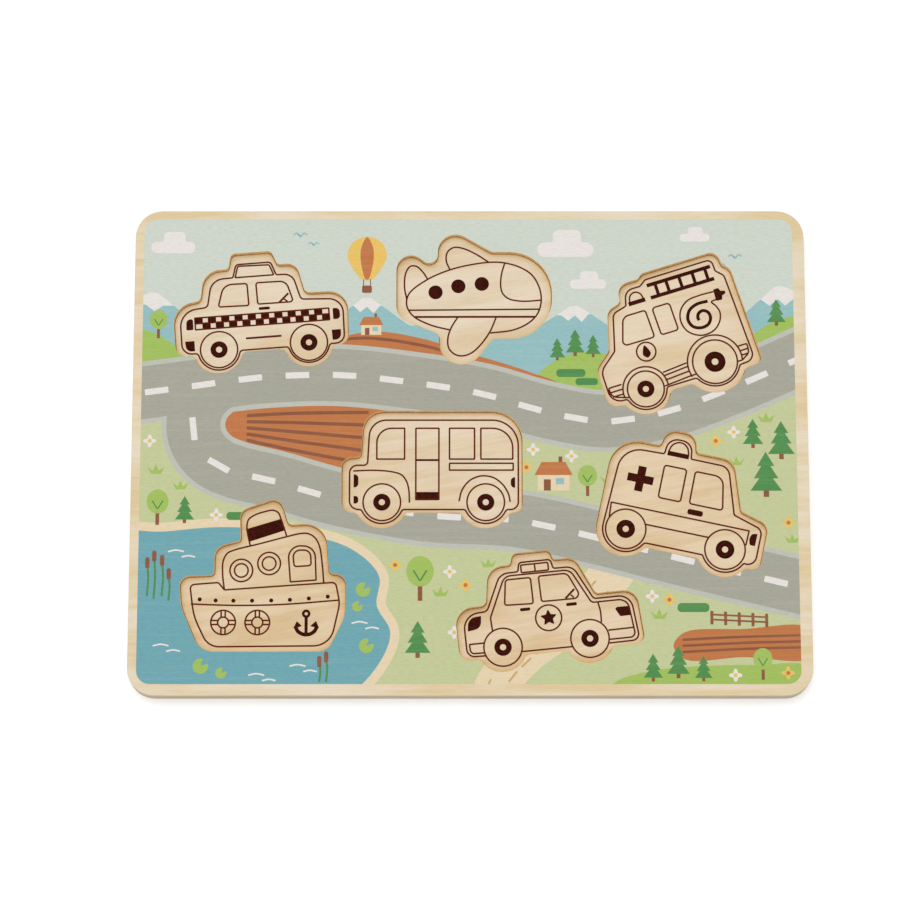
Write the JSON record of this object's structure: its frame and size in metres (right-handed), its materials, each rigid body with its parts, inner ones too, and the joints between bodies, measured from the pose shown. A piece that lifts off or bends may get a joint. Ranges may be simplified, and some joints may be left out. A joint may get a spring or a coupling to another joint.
{
  "type": "inset puzzle",
  "caption": "Flat wooden inset puzzle: a printed frame board glued to a back board, with lift-out vehicle pieces lying in cut-outs of their own outline.",
  "frame": {"origin": "centre of the board's underside", "axes": "+X along the long side to the viewer's right, +Y up the picture, +Z out of the printed face"},
  "size_m": [0.3, 0.22, 0.009],
  "materials": {
    "printed_frame": "matt colour print on light plywood, with a bare wood border",
    "back_ply": "bare light plywood, sanded",
    "piece_ply": "bare light plywood with dark brown printed lines"
  },
  "bodies": {
    "board": {"frame_board": "printed_frame", "back_board": "back_ply"},
    "taxi_piece": {"taxi": "piece_ply"},
    "aeroplane_piece": {"aeroplane": "piece_ply"},
    "fire_engine_piece": {"fire_engine": "piece_ply"},
    "bus_piece": {"bus": "piece_ply"},
    "ambulance_piece": {"ambulance": "piece_ply"},
    "boat_piece": {"boat": "piece_ply"},
    "police_car_piece": {"police_car": "piece_ply"}
  },
  "joints": [
    {"name": "taxi_lift", "type": "slide", "parent": "board", "child": "taxi_piece", "axis": [0, 0, 1], "range_m": [0, 0.03]},
    {"name": "aeroplane_lift", "type": "slide", "parent": "board", "child": "aeroplane_piece", "axis": [0, 0, 1], "range_m": [0, 0.03]},
    {"name": "fire_engine_lift", "type": "slide", "parent": "board", "child": "fire_engine_piece", "axis": [0, 0, 1], "range_m": [0, 0.03]},
    {"name": "bus_lift", "type": "slide", "parent": "board", "child": "bus_piece", "axis": [0, 0, 1], "range_m": [0, 0.03]},
    {"name": "ambulance_lift", "type": "slide", "parent": "board", "child": "ambulance_piece", "axis": [0, 0, 1], "range_m": [0, 0.03]},
    {"name": "boat_lift", "type": "slide", "parent": "board", "child": "boat_piece", "axis": [0, 0, 1], "range_m": [0, 0.03]},
    {"name": "police_car_lift", "type": "slide", "parent": "board", "child": "police_car_piece", "axis": [0, 0, 1], "range_m": [0, 0.03]}
  ]
}
